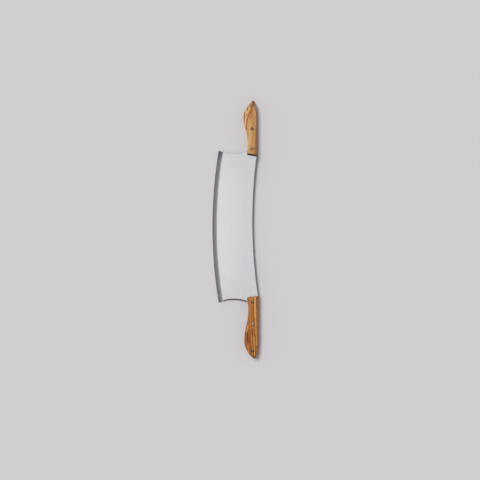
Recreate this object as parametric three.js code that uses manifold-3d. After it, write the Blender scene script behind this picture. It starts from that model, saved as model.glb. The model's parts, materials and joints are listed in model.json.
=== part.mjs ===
// Two-handled rocker pizza cutter.
// One steel plate is the blade and both tangs. Each tang has a wooden scale on either face, held by three
// two-piece cutler's rivets. The cutter lies as it does on a worktop, front face up, leaning on its cutting
// edge and on the underside of its handles.
// Millimetres: Y runs along the blade, X from the cutting edge to the spine, and Z up.

import * as THREE from "three";
import { mergeVertices } from "three/addons/utils/BufferGeometryUtils.js";
import Module from "manifold-3d";

// Blade
const BLADE_LENGTH = 304.8; // tip to tip of the cutting edge
const BLADE_HEIGHT = 81.5; // cutting edge to spine at mid-length
const BLADE_THICKNESS = 2.5;
const EDGE_RADIUS = 910; // of the rocking edge
const EDGE_LAND = 0.3; // steel left at the very edge
const BEVEL_WIDTH = 9.5; // ground band beside the edge, on each face
const HEEL_SETBACK = 2.2; // how far the heel at a handle stands back from the tip

// Wooden scales
const SCALE_THICKNESS = 8.65;
const GLUE_LINE = 0.1; // between a scale and its tang
const WOOD_ROUND = 1.5; // along the outer edges of the wood
const NOSE_RADIUS = 1.7; // of a handle's tip, seen from the face
const NECK_STRAIGHT = 5; // of the belly side, by the blade end of the wood
const FACET_SLOPE = 35; // degrees, how steeply the belly facet falls from the outer face

// Rivets: a post pressed into a tube, each with its own domed head
const HEAD_DIAMETER = 6.4;
const HEAD_RIM = 1.3; // thickness of a head at its rim
const HEAD_CROWN = 0.6; // rise of the dome from the rim to the middle
const RIM_SINK = 0.3; // depth of the rim below the face of the wood
const TUBE_DIAMETER = 4;
const POST_DIAMETER = 2.6;
const POST_END_GAP = 0.3; // between the post and the bottom of the tube, and the tube and the post's head
const RIVET_CLEARANCE = 0.1; // round the heads, the tube and the post

// Handles, each shaped by hand. Places along a handle count from the blade end of its wood, those named
// "Back" from its tip, and widths and drops from its spine side.
const SHORT_HANDLE = {
  name: "short_handle",
  side: 1, // it points along +Y
  hollow: 4.8, // how far the end of the blade beside it curves in
  lap: 7.8, // of the wood over the heel of the blade
  rise: 8.4, // of its spine side past the middle of the spine
  length: 106.5,
  endWidth: 18.4,
  endSlant: 3.4, // how much further the wood reaches along the spine than along the belly
  waistWidth: 16.9,
  waistAlong: 20.5,
  bellyWidth: 26.4,
  bellyBack: 27.4,
  taperBack: 31, // where the spine side starts to fall towards the tip
  tipDrop: 5.8,
  facetWidth: 9.6, // of the belly facet, at the belly
  facetSkew: 12, // degrees, towards the spine as it nears the tip
  rivetDrop: 8.6,
  neckRivet: 11.5,
  middleRivet: 50.9,
  tipRivetBack: 10.3,
};
const LONG_HANDLE = {
  name: "long_handle",
  side: -1,
  hollow: 5.55,
  lap: 10.2,
  rise: 11.3,
  length: 121.8,
  endWidth: 21.6,
  endSlant: 2.8,
  waistWidth: 18.7,
  waistAlong: 26,
  bellyWidth: 27.7,
  bellyBack: 32.8,
  taperBack: 38.4,
  tipDrop: 7,
  facetWidth: 7.7,
  facetSkew: 0,
  rivetDrop: 10,
  neckRivet: 9.6,
  middleRivet: 54,
  tipRivetBack: 15.8,
};

// How finely the curves are drawn
const EDGE_STEPS = 720; // round the whole circle of the cutting edge
const SPINE_STEPS = 24;
const END_STEPS = 10;
const FLANK_STEPS = 10; // for each curve of a handle's outline
const ROUND_STEPS = 2;
const RIVET_STEPS = 24;
const CROWN_STEPS = 3;

const FLANK_PULL = 0.42; // how far each curve of a handle runs on along its tangent, as a share of its span
const CUT_MARGIN = 5; // how far a cutting solid reaches past what it cuts

const tangFace = BLADE_THICKNESS / 2;
const seat = tangFace + GLUE_LINE;
const outerFace = seat + SCALE_THICKNESS;
const rim = outerFace - RIM_SINK;
const headUnderside = rim - HEAD_RIM;
const tipRise = EDGE_RADIUS - Math.sqrt(EDGE_RADIUS ** 2 - (BLADE_LENGTH / 2) ** 2);

const manifold = await Module();
manifold.setup();

// A closed geometry as a solid that can be joined and cut.
function solidOf(geometry) {
  const bare = new THREE.BufferGeometry();
  bare.setAttribute("position", geometry.getAttribute("position"));
  bare.setIndex(geometry.getIndex());
  const merged = mergeVertices(bare);
  const mesh = new manifold.Mesh({
    numProp: 3,
    vertProperties: merged.getAttribute("position").array,
    triVerts: new Uint32Array(merged.getIndex().array),
  });
  return new manifold.Manifold(mesh);
}

// A solid as a geometry again, with flat-shaded faces.
function geometryOf(solid) {
  const mesh = solid.getMesh();
  const indexed = new THREE.BufferGeometry();
  indexed.setAttribute("position", new THREE.BufferAttribute(mesh.vertProperties, 3));
  indexed.setIndex(new THREE.BufferAttribute(mesh.triVerts, 1));
  const geometry = indexed.toNonIndexed();
  geometry.computeVertexNormals();
  return geometry;
}

// A solid turned about a line along Z, from a profile of [radius, height] points that run upwards.
function turned(profile, x, y, steps = RIVET_STEPS) {
  const points = profile.map(([radius, height]) => new THREE.Vector2(radius, height));
  return new THREE.LatheGeometry(points, steps).rotateX(Math.PI / 2).translate(x, y, 0);
}

// A flat outline made into a plate of the given half thickness about Z = 0.
function plateOf(shape, half) {
  const geometry = new THREE.ExtrudeGeometry(shape, {
    depth: 2 * half,
    bevelEnabled: false,
    curveSegments: FLANK_STEPS,
  });
  return geometry.translate(0, 0, -half);
}

// Continues an outline along the circular arc through a point to an end.
function arcThrough(shape, through, end, steps) {
  const start = shape.currentPoint.clone();
  const [a, b] = [through.clone().sub(start), end.clone().sub(start)];
  const twice = 2 * a.cross(b);
  const centre = new THREE.Vector2(
    start.x + (b.y * a.lengthSq() - a.y * b.lengthSq()) / twice,
    start.y + (a.x * b.lengthSq() - b.x * a.lengthSq()) / twice,
  );
  const from = start.clone().sub(centre);
  const to = end.clone().sub(centre);
  const sweep = Math.atan2(from.cross(to), from.dot(to));
  for (let i = 1; i < steps; i += 1) {
    const point = start.clone().rotateAround(centre, (sweep * i) / steps);
    shape.lineTo(point.x, point.y);
  }
  shape.lineTo(end.x, end.y);
}

// The point of a handle at a place along it and a drop from its spine side.
function onHandle(handle, along, drop) {
  const woodEnd = BLADE_LENGTH / 2 - HEEL_SETBACK - handle.lap;
  return new THREE.Vector2(BLADE_HEIGHT + handle.rise - drop, handle.side * (woodEnd + along));
}

// The outline that the wood and the tang of a handle share.
function handleOutline(handle) {
  const { length, endWidth, endSlant, waistWidth, waistAlong } = handle;
  const { bellyWidth, bellyBack, taperBack, tipDrop } = handle;
  const bellyAlong = length - bellyBack;
  const rise = (bellyAlong - waistAlong) * FLANK_PULL;
  const spineReach = taperBack * (1 - FLANK_PULL);
  const bellyReach = bellyBack * (1 - FLANK_PULL);
  const noseUp = Math.sqrt((2 / 3) * NOSE_RADIUS * spineReach);
  const noseDown = Math.sqrt((2 / 3) * NOSE_RADIUS * bellyReach);
  const shape = new THREE.Shape();
  const at = (along, drop) => onHandle(handle, along, drop).toArray();
  shape.moveTo(...at(-endSlant / 2, 0));
  shape.lineTo(...at(length - taperBack, 0));
  shape.bezierCurveTo(
    ...at(length - spineReach, 0),
    ...at(length, tipDrop - noseUp),
    ...at(length, tipDrop),
  );
  shape.bezierCurveTo(
    ...at(length, tipDrop + noseDown),
    ...at(length - bellyReach, bellyWidth),
    ...at(bellyAlong, bellyWidth),
  );
  shape.bezierCurveTo(
    ...at(bellyAlong - rise, bellyWidth),
    ...at(waistAlong + rise, waistWidth),
    ...at(waistAlong, waistWidth),
  );
  shape.quadraticCurveTo(
    ...at(waistAlong * FLANK_PULL, waistWidth),
    ...at(endSlant / 2 + NECK_STRAIGHT, endWidth),
  );
  shape.lineTo(...at(endSlant / 2, endWidth));
  return shape;
}

function rivetCentres(handle) {
  const places = {
    neck: handle.neckRivet,
    middle: handle.middleRivet,
    tip: handle.length - handle.tipRivetBack,
  };
  return Object.entries(places).map(([place, along]) => ({
    place,
    centre: onHandle(handle, along, handle.rivetDrop),
  }));
}

// The plate without its tangs, running past the cutting edge.
function bladeOutline() {
  const shape = new THREE.Shape();
  const tip = (side) => new THREE.Vector2(tipRise, (side * BLADE_LENGTH) / 2);
  const heel = ({ rise, endWidth, side }) =>
    new THREE.Vector2(BLADE_HEIGHT + rise - endWidth, side * (BLADE_LENGTH / 2 - HEEL_SETBACK));
  const inwards = ({ hollow, side }) => new THREE.Vector2(0, -side * hollow);
  const deepest = (a, b, handle) => a.clone().lerp(b, 0.5).add(inwards(handle));
  const shortHeel = heel(SHORT_HANDLE);
  const longHeel = heel(LONG_HANDLE);
  const shortNeck = onHandle(SHORT_HANDLE, -SHORT_HANDLE.endSlant / 2, 0);
  const longNeck = onHandle(LONG_HANDLE, -LONG_HANDLE.endSlant / 2, 0);
  shape.moveTo(-CUT_MARGIN, -BLADE_LENGTH / 2);
  shape.lineTo(-CUT_MARGIN, BLADE_LENGTH / 2);
  shape.lineTo(tip(1).x, tip(1).y);
  arcThrough(shape, deepest(tip(1), shortHeel, SHORT_HANDLE), shortHeel, END_STEPS);
  shape.lineTo(shortNeck.x, shortNeck.y);
  arcThrough(shape, new THREE.Vector2(BLADE_HEIGHT, 0), longNeck, SPINE_STEPS);
  shape.lineTo(longHeel.x, longHeel.y);
  arcThrough(shape, deepest(longHeel, tip(-1), LONG_HANDLE), tip(-1), END_STEPS);
  return shape;
}

// A disc whose rim is the cutting edge, ground from both faces. It gives the plate its thickness.
function groundDisc() {
  const shoulder = EDGE_RADIUS - BEVEL_WIDTH;
  const profile = [
    [0, -tangFace],
    [shoulder, -tangFace],
    [EDGE_RADIUS, -EDGE_LAND / 2],
    [EDGE_RADIUS, EDGE_LAND / 2],
    [shoulder, tangFace],
    [0, tangFace],
  ];
  return turned(profile, EDGE_RADIUS, 0, EDGE_STEPS);
}

function bladeSolid() {
  const tall = tangFace + CUT_MARGIN;
  let plate = solidOf(plateOf(bladeOutline(), tall));
  for (const handle of [SHORT_HANDLE, LONG_HANDLE]) {
    plate = plate.add(solidOf(plateOf(handleOutline(handle), tall)));
  }
  let blade = plate.intersect(solidOf(groundDisc()));
  for (const { centre } of [SHORT_HANDLE, LONG_HANDLE].flatMap(rivetCentres)) {
    blade = blade.subtract(solidOf(bore(centre, TUBE_DIAMETER / 2 + RIVET_CLEARANCE, -tall, tall)));
  }
  return blade;
}

function bore(centre, radius, from, to) {
  const [bottom, top] = [Math.min(from, to), Math.max(from, to)];
  const profile = [
    [0, bottom],
    [radius, bottom],
    [radius, top],
    [0, top],
  ];
  return turned(profile, centre.x, centre.y);
}

// All that lies outside the facet which falls from a scale's outer face to its belly.
function facetCutter(handle, face) {
  const skew = THREE.MathUtils.degToRad(handle.facetSkew);
  const slope = THREE.MathUtils.degToRad(FACET_SLOPE);
  const line = onHandle(handle, handle.length - handle.bellyBack, handle.bellyWidth - handle.facetWidth);
  const along = new THREE.Vector3(Math.sin(skew), handle.side * Math.cos(skew), 0);
  const outwards = new THREE.Vector3(-Math.cos(skew), handle.side * Math.sin(skew), 0)
    .multiplyScalar(Math.sin(slope))
    .setZ(face * Math.cos(slope));
  const reach = 2 * handle.length;
  const centre = new THREE.Vector3(line.x, line.y, face * outerFace).addScaledVector(outwards, reach / 2);
  const placed = new THREE.Matrix4()
    .makeBasis(along, outwards.clone().cross(along), outwards)
    .setPosition(centre);
  return new THREE.BoxGeometry(reach, reach, reach).applyMatrix4(placed);
}

// A scale on the front face (1) or the back face (-1) of a tang.
function scaleSolid(handle, face) {
  const round = Math.min(WOOD_ROUND, 0.9 * NOSE_RADIUS);
  const block = new THREE.ExtrudeGeometry(handleOutline(handle), {
    depth: 2 * (outerFace - round),
    bevelThickness: round,
    bevelSize: round,
    bevelOffset: -round,
    bevelSegments: ROUND_STEPS,
    curveSegments: FLANK_STEPS,
  }).translate(0, 0, round - outerFace);
  const reach = 4 * (BLADE_LENGTH + handle.length);
  const otherSide = new THREE.BoxGeometry(reach, reach, reach).translate(0, 0, face * (seat - reach / 2));
  let scale = solidOf(block).subtract(solidOf(otherSide)).subtract(solidOf(facetCutter(handle, face)));
  const headSeat = face * (headUnderside - RIVET_CLEARANCE);
  const past = face * (outerFace + CUT_MARGIN);
  for (const { centre } of rivetCentres(handle)) {
    scale = scale
      .subtract(solidOf(bore(centre, TUBE_DIAMETER / 2 + RIVET_CLEARANCE, 0, past)))
      .subtract(solidOf(bore(centre, HEAD_DIAMETER / 2 + RIVET_CLEARANCE, headSeat, past)));
  }
  return scale;
}

// The domed top of a rivet head, from its rim to its middle, as [radius, height] points.
function crown() {
  return Array.from({ length: CROWN_STEPS + 1 }, (_, i) => {
    const share = 1 - i / CROWN_STEPS;
    return [(share * HEAD_DIAMETER) / 2, rim + HEAD_CROWN * (1 - share ** 2)];
  });
}

// The half with the post, headed on the front face.
function maleRivet(centre) {
  const post = POST_DIAMETER / 2;
  const profile = [
    [0, POST_END_GAP - headUnderside],
    [post, POST_END_GAP - headUnderside],
    [post, headUnderside],
    [HEAD_DIAMETER / 2, headUnderside],
    ...crown(),
  ];
  return turned(profile, centre.x, centre.y);
}

// The half with the tube, headed on the back face.
function femaleRivet(centre) {
  const tube = TUBE_DIAMETER / 2;
  const hole = POST_DIAMETER / 2 + RIVET_CLEARANCE;
  const underneath = crown()
    .map(([radius, height]) => [radius, -height])
    .reverse();
  const profile = [
    ...underneath,
    [HEAD_DIAMETER / 2, -headUnderside],
    [tube, -headUnderside],
    [tube, headUnderside - POST_END_GAP],
    [hole, headUnderside - POST_END_GAP],
    [hole, -headUnderside],
    [0, -headUnderside],
  ];
  return turned(profile, centre.x, centre.y);
}

const bladeSteel = new THREE.MeshStandardMaterial({ color: 0xd3d2d6, roughness: 0.38, metalness: 1 });
const rivetSteel = new THREE.MeshStandardMaterial({ color: 0xb4b4b8, roughness: 0.22, metalness: 1 });
const goldenWood = new THREE.MeshStandardMaterial({ color: 0xc09664, roughness: 0.55, metalness: 0 });
const brownWood = new THREE.MeshStandardMaterial({ color: 0xaa6e3c, roughness: 0.55, metalness: 0 });

const cutter = new THREE.Group();

function addPiece(name, geometry, material) {
  const mesh = new THREE.Mesh(geometry, material);
  mesh.name = name;
  cutter.add(mesh);
  return mesh;
}

addPiece("blade", geometryOf(bladeSolid()), bladeSteel);
const backScales = [];
for (const [handle, wood] of [[SHORT_HANDLE, goldenWood], [LONG_HANDLE, brownWood]]) {
  addPiece(`${handle.name}_front_scale`, geometryOf(scaleSolid(handle, 1)), wood);
  backScales.push(addPiece(`${handle.name}_back_scale`, geometryOf(scaleSolid(handle, -1)), wood));
  for (const { place, centre } of rivetCentres(handle)) {
    addPiece(`${handle.name}_${place}_rivet_male`, maleRivet(centre), rivetSteel);
    addPiece(`${handle.name}_${place}_rivet_female`, femaleRivet(centre), rivetSteel);
  }
}

// The angle at which a floor through the cutting edge touches the handles.
function restingLean() {
  let lean = 0;
  for (const { geometry } of backScales) {
    const corners = geometry.getAttribute("position");
    for (let i = 0; i < corners.count; i += 1) {
      lean = Math.max(lean, Math.atan2(-EDGE_LAND / 2 - corners.getZ(i), corners.getX(i)));
    }
  }
  return lean;
}

// The cutter lies on Z = 0, with the middle of its bounding box over the origin.
cutter.rotation.y = -restingLean();
const bounds = new THREE.Box3().setFromObject(cutter, true);
const middle = bounds.getCenter(new THREE.Vector3());
cutter.position.set(-middle.x, -middle.y, -bounds.min.z);

export default cutter;
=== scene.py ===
# Looks of a two-handled rocker pizza cutter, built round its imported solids.
# Shapes are drawn flat in millimetres: x runs from the cutting edge to the spine, y along the blade and z
# out of its front face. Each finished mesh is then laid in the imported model's frame, in metres.
import json
import math
import bmesh
import bpy
import numpy as np
from mathutils import Matrix, Vector


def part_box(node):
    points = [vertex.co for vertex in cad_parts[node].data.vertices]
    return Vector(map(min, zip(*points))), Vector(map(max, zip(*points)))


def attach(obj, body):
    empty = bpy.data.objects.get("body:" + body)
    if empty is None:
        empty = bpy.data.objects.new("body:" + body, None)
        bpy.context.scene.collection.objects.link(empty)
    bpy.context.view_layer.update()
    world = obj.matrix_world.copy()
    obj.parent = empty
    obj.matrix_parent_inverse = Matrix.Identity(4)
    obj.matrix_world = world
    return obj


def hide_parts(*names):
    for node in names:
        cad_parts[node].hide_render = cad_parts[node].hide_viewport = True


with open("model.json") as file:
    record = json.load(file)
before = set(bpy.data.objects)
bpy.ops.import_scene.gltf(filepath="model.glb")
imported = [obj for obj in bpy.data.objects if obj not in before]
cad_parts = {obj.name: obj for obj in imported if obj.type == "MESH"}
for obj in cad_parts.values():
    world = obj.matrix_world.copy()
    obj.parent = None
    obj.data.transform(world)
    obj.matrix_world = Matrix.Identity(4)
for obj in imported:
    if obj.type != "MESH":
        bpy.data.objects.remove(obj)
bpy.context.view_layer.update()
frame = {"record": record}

MM = 0.001

# The blade, as the solids have it
BLADE_LENGTH = 304.8  # tip to tip of the cutting edge
BLADE_HEIGHT = 81.5  # cutting edge to spine at mid-length
BLADE_THICKNESS = 2.5
EDGE_RADIUS = 910.0  # of the rocking edge
EDGE_LAND = 0.3  # steel left at the very edge
BEVEL_WIDTH = 9.5  # ground band beside the edge, on each face
HEEL_SETBACK = 2.2  # how far the heel at a handle stands back from the tip

# Its finish: the bevel is ground slightly convex, and every other edge of the plate is rubbed round
SHOULDER_SLOPE = 0.088  # of the bevel where it leaves the flat
SPINE_RUB = (0.8, 0.8)  # width and depth of the rounding along the spine
TANG_RUB = (0.2, 0.2)  # and along the wood
RUB_FADE = 3.0  # how far from a heel, or from the bevel, the rounding of an end starts to narrow
BLANK_MARGIN = 5.0  # how far the plate reaches past its cutting edge before it is ground

# The wood
SCALE_THICKNESS = 8.65
GLUE_LINE = 0.1  # between a scale and its tang
WOOD_ROUND = 1.5  # along the outer edges of the wood
WOOD_ROUND_SHARE = 0.3  # of the wood's width, the most that its rounded edge is drawn over near the tip
NOSE_RADIUS = 1.7  # of a handle's tip, seen from the face
NECK_STRAIGHT = 5.0  # of the belly side, by the blade end of the wood
FACET_SLOPE = math.radians(35.0)  # how steeply the belly facet falls from the outer face
FACET_SOFTNESS = 0.9  # how wide the facet's ridge is rubbed over
FLANK_PULL = 0.42  # how far each curve of a handle runs on along its tangent, as a share of its span

# The rivets
HEAD_DIAMETER = 6.4
HEAD_RIM = 1.3  # thickness of a head at its rim
HEAD_CROWN = 0.6  # rise of the dome from the rim to the middle
RIM_SINK = 0.3  # depth of the rim below the face of the wood
RIM_BREAK = 0.12  # worn off the corner of the rim
TUBE_DIAMETER = 4.0
POST_DIAMETER = 2.6
POST_END_GAP = 0.3  # between the post and the bottom of the tube, and the tube and the post's head
RIVET_CLEARANCE = 0.1  # round the heads, the tube and the post

# The tools that cut their holes
DRILL_LENGTH = 20.0
CUTTER_REACH = (-1.0, 20.0)  # heights that a scale's cutter runs between, clear of the wood

# Each handle is shaped by hand. Places along it count from the blade end of its wood, those that end in
# "back" from its tip, and widths and drops from its spine side.
HANDLES = {
    "short_handle": {
        "side": 1,  # it points along +y
        "hollow": 4.8,  # how far the end of the blade beside it curves in
        "end_rub": (1.6, 0.9),  # width and depth of the rounding along that end
        "lap": 7.8,  # of the wood over the heel of the blade
        "rise": 8.4,  # of its spine side past the middle of the spine
        "length": 106.5,
        "end_width": 18.4,
        "end_slant": 3.4,  # how much further the wood reaches along the spine than along the belly
        "waist_width": 16.9,
        "waist_along": 20.5,
        "belly_width": 26.4,
        "belly_back": 27.4,
        "taper_back": 31.0,  # where the spine side starts to fall towards the tip
        "tip_drop": 5.8,
        "facet_width": 9.6,  # of the belly facet, at the belly
        "facet_skew": math.radians(12.0),  # towards the spine as it nears the tip
        "rivet_drop": 8.6,
        "rivets": {"neck": 11.5, "middle": 50.9, "tip": 96.2},
        "polish": {"neck": 0.35, "middle": 0.05, "tip": 0.3},  # how bright the heads are, from 0 to 1
    },
    "long_handle": {
        "side": -1,
        "hollow": 5.55,
        "end_rub": (2.1, 1.0),
        "lap": 10.2,
        "rise": 11.3,
        "length": 121.8,
        "end_width": 21.6,
        "end_slant": 2.8,
        "waist_width": 18.7,
        "waist_along": 26.0,
        "belly_width": 27.7,
        "belly_back": 32.8,
        "taper_back": 38.4,
        "tip_drop": 7.0,
        "facet_width": 7.7,
        "facet_skew": 0.0,
        "rivet_drop": 10.0,
        "rivets": {"neck": 9.6, "middle": 54.0, "tip": 106.0},
        "polish": {"neck": 0.2, "middle": 0.85, "tip": 0.25},
    },
}

# How finely the shapes are drawn
SPINE_STEPS = 96
END_STEPS = 40  # along a hollow end of the blade
TANG_STEPS = 28  # for each curve of a tang's outline
GRIND_STEPS = 960  # round the disc that grinds the bevel
BEVEL_ROWS = 8
POLE_ROWS = 2  # of that disc, from its pole to the shoulder of the bevel
DRILL_STEPS = 40
ROUND_ROWS = 7  # across a rounded edge, of the plate and of the wood
WOOD_STEPS = 400  # for each curve of the wood's outline
BODY_ROWS = 125  # along a handle, between its rounded end and its nose
NOSE_ROWS = 19
NOSE_LENGTH = 8.0  # millimetres of the tip that these rows are spread over
FACE_COLUMNS = 43  # across the wood, between its rounded edges
CUTTER_STEPS = 56
RIVET_STEPS = 48
CROWN_ROWS = 10

# What counts as nothing
MERGE_DISTANCE = 1e-4
SHORTEST_EDGE = 1e-5
TOUCHING_AREA = 1e-3
TINY = 1e-9

# Edges look sharp where they turn by more than this
SHARP_STEEL = math.radians(1.2)
SHARP_WOOD = math.radians(40.0)
SHARP_RIVET = math.radians(35.0)

half_plate = BLADE_THICKNESS / 2
seat = half_plate + GLUE_LINE
outer_face = seat + SCALE_THICKNESS
rim = outer_face - RIM_SINK
head_underside = rim - HEAD_RIM
bore_radius = TUBE_DIAMETER / 2 + RIVET_CLEARANCE


def wood_end(handle):
    """How far the blade end of a handle's wood lies from the middle of the blade."""
    return BLADE_LENGTH / 2 - HEEL_SETBACK - handle["lap"]


def resting_place():
    """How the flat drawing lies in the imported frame: its lean, and where the middle of the edge goes."""
    mounts = {mount["name"]: mount for mount in frame["record"]["mounts"]}
    lean = math.asin(-mounts["front_blade_face"]["axis"][0])
    lowest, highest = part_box("blade")
    half_land = EDGE_LAND / 2 * MM
    short = HANDLES["short_handle"]
    tip = (wood_end(short) + short["length"]) * MM
    edge = Vector((lowest.x + half_land * math.sin(lean), highest.y - tip, half_land * math.cos(lean)))
    return lean, edge


LEAN, EDGE_AT = resting_place()
lay_down = Matrix.Translation(EDGE_AT) @ Matrix.Rotation(-LEAN, 4, "Y") @ Matrix.Scale(MM, 4)


def srgb(red, green, blue):
    """A colour given as it looks on a screen, from 0 to 255, as the linear colour that a shader takes."""
    shares = [c / 255 for c in (red, green, blue)]
    linear = [c / 12.92 if c <= 0.04045 else ((c + 0.055) / 1.055) ** 2.4 for c in shares]
    return (*linear, 1.0)


def grey(value):
    return (value, value, value, 1.0)


class Graph:
    """Adds nodes to a tree and wires them together."""

    def __init__(self, tree):
        self.tree = tree
        tree.nodes.clear()

    def add(self, kind, *inputs, out=0, **settings):
        """A new node. Its inputs in order get a socket, a plain value or None. Gives one output."""
        node = self.tree.nodes.new(kind)
        for name, value in settings.items():
            setattr(node, name, value)
        for socket, value in zip(node.inputs, inputs):
            self.put(socket, value)
        return node.outputs[out]

    def put(self, socket, value):
        if isinstance(value, bpy.types.NodeSocket):
            self.tree.links.new(value, socket)
        elif value is not None:
            socket.default_value = value

    def math(self, operation, *inputs):
        return self.add("ShaderNodeMath", *inputs, operation=operation)

    def vector(self, operation, *inputs, out=0):
        return self.add("ShaderNodeVectorMath", *inputs, operation=operation, out=out)

    def xyz(self, x=0.0, y=0.0, z=0.0):
        return self.add("ShaderNodeCombineXYZ", x, y, z)

    def ease(self, value, start, end, low=0.0, high=1.0):
        """Runs smoothly from low, where value is at start, to high, where it is at end."""
        return self.add(
            "ShaderNodeMapRange", value, start, end, low, high, interpolation_type="SMOOTHSTEP"
        )

    def between(self, share, first, second):
        """A number that runs from the first to the second."""
        return self.add("ShaderNodeMix", share, None, first, second, data_type="FLOAT")

    def mix(self, share, first, second, blend="MIX"):
        """A colour that runs from the first to the second."""
        skipped = [None] * 5
        return self.add(
            "ShaderNodeMix", share, *skipped, first, second, data_type="RGBA", blend_type=blend, out=2
        )

    def tint(self, colour, mask, tint, strength):
        """Lays a tint over a colour where a mask is."""
        return self.mix(self.math("MULTIPLY", mask, strength), colour, tint)

    def noise(self, place, waves, detail, roughness, out=0):
        """Noise with its own number of waves to a unit along x, y and z."""
        stretched = self.vector("MULTIPLY", place, waves)
        return self.add("ShaderNodeTexNoise", stretched, None, 1.0, detail, roughness, out=out)

    def drift(self, place, *noise):
        """A noise that points every way, up to half a unit far."""
        return self.vector("SUBTRACT", self.noise(place, *noise, out="Color"), (0.5, 0.5, 0.5))

    def ramp(self, share, stops):
        made = self.add("ShaderNodeValToRGB", share)
        elements = made.node.color_ramp.elements
        while len(elements) < len(stops):
            elements.new(1.0)
        for element, (position, colour) in zip(elements, stops):
            element.position = position
            element.color = colour
        return made

    def bump(self, height, strength, depth):
        """A normal that follows a height, which is a share of a depth in metres."""
        return self.add("ShaderNodeBump", strength, depth, None, height)


# Handle outlines


def cubic(points, steps):
    """Points along a cubic curve, both ends included."""
    t = np.linspace(0.0, 1.0, steps + 1)[:, None]
    a, b, c, d = (np.array(p, float) for p in points)
    return (1 - t) ** 3 * a + 3 * t * (1 - t) ** 2 * b + 3 * t**2 * (1 - t) * c + t**3 * d


def quadratic(points, steps):
    """Points along a quadratic curve, drawn as the cubic one that is the same."""
    a, b, c = (np.array(p, float) for p in points)
    return cubic((a, a + (b - a) * 2 / 3, c + (b - c) * 2 / 3, c), steps)


def handle_sides(handle, steps):
    """The spine side and belly side of a handle as (along, drop) points, each from blade end to tip."""
    length, tip_drop = handle["length"], handle["tip_drop"]
    taper, belly_back = handle["taper_back"], handle["belly_back"]
    belly, waist = handle["belly_width"], handle["waist_width"]
    belly_along, waist_along = length - belly_back, handle["waist_along"]
    rise = (belly_along - waist_along) * FLANK_PULL
    spine_reach, belly_reach = taper * (1 - FLANK_PULL), belly_back * (1 - FLANK_PULL)
    nose_up = math.sqrt(2 / 3 * NOSE_RADIUS * spine_reach)
    nose_down = math.sqrt(2 / 3 * NOSE_RADIUS * belly_reach)
    slant, end_width = handle["end_slant"] / 2, handle["end_width"]
    tip = (length, tip_drop)
    straight_end = (slant + NECK_STRAIGHT, end_width)
    spine_tail = [
        (length - taper, 0),
        (length - spine_reach, 0),
        (length, tip_drop - nose_up),
        tip,
    ]
    belly_flank = [
        (waist_along, waist),
        (waist_along + rise, waist),
        (belly_along - rise, belly),
        (belly_along, belly),
    ]
    belly_tail = [
        (belly_along, belly),
        (length - belly_reach, belly),
        (length, tip_drop + nose_down),
        tip,
    ]
    neck = [straight_end, (waist_along * FLANK_PULL, waist), (waist_along, waist)]
    spine_side = np.vstack([[(-slant, 0)], cubic(spine_tail, steps)])
    belly_side = np.vstack(
        [
            [(slant, end_width)],
            quadratic(neck, steps),
            cubic(belly_flank, steps)[1:],
            cubic(belly_tail, steps)[1:],
        ]
    )
    return spine_side, belly_side


def on_handle(handle, along_drop):
    """Flat x and y of (along, drop) points of a handle."""
    along, drop = np.asarray(along_drop, float).T
    x = BLADE_HEIGHT + handle["rise"] - drop
    return np.column_stack([x, handle["side"] * (wood_end(handle) + along)])


def heel_x(handle):
    """How far across the blade its heel beside a handle lies."""
    return BLADE_HEIGHT + handle["rise"] - handle["end_width"]


def joint_line(handle, gap):
    """Both ends of a line on the blade beside the end of a handle's wood, a gap away from it."""
    slant, width = handle["end_slant"] / 2, handle["end_width"]
    return on_handle(handle, [(-slant - gap, 0.0), (slant - gap, width)])


def rivet_places(handle):
    return on_handle(handle, [(along, handle["rivet_drop"]) for along in handle["rivets"].values()])


# Pieces


def object_of(name, data):
    made = bpy.data.objects.new(name, data)
    bpy.context.scene.collection.objects.link(made)
    return made


def mesh_of(name, points, faces):
    mesh = bpy.data.meshes.new(name)
    mesh.from_pydata([tuple(p) for p in points], [], faces)
    return mesh


def node_tree(name, sizes, objects=()):
    """A Geometry Nodes tree with named inputs: its sizes, any objects that it reads, and its material.
    Gives its graph, its inputs by name and its way to finish."""
    tree = bpy.data.node_groups.new(name, "GeometryNodeTree")
    tree.interface.new_socket("Geometry", in_out="INPUT", socket_type="NodeSocketGeometry")
    sockets = {**dict.fromkeys(sizes, "Float"), **dict.fromkeys(objects, "Object"), "Material": "Material"}
    for socket, kind in sockets.items():
        tree.interface.new_socket(socket, in_out="INPUT", socket_type=f"NodeSocket{kind}")
    tree.interface.new_socket("Geometry", in_out="OUTPUT", socket_type="NodeSocketGeometry")
    graph = Graph(tree)
    inputs = {s.name: s for s in tree.nodes.new("NodeGroupInput").outputs if s.name}

    def end(geometry):
        realized = graph.add("GeometryNodeRealizeInstances", geometry)
        finished = graph.add("GeometryNodeSetMaterial", realized, None, inputs["Material"])
        graph.put(tree.nodes.new("NodeGroupOutput").inputs[0], finished)
        return tree

    return graph, inputs, end


def run_tree(piece, tree, values):
    """Runs a tree on a piece and keeps the result as its plain mesh."""
    modifier = piece.modifiers.new(tree.name, "NODES")
    modifier.node_group = tree
    for item in tree.interface.items_tree:
        if item.in_out == "INPUT" and item.name in values:
            modifier[item.identifier] = values[item.name]
    drawn = piece.data
    evaluated = piece.evaluated_get(bpy.context.evaluated_depsgraph_get())
    made = bpy.data.meshes.new_from_object(evaluated)
    # A mesh drawn without a material leaves an empty slot in front of the one that the tree sets
    while made.materials[0] is None:
        made.materials.pop(index=0)
    piece.modifiers.clear()
    piece.data = made
    made.name = piece.name
    bpy.data.meshes.remove(drawn)
    return piece


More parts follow.
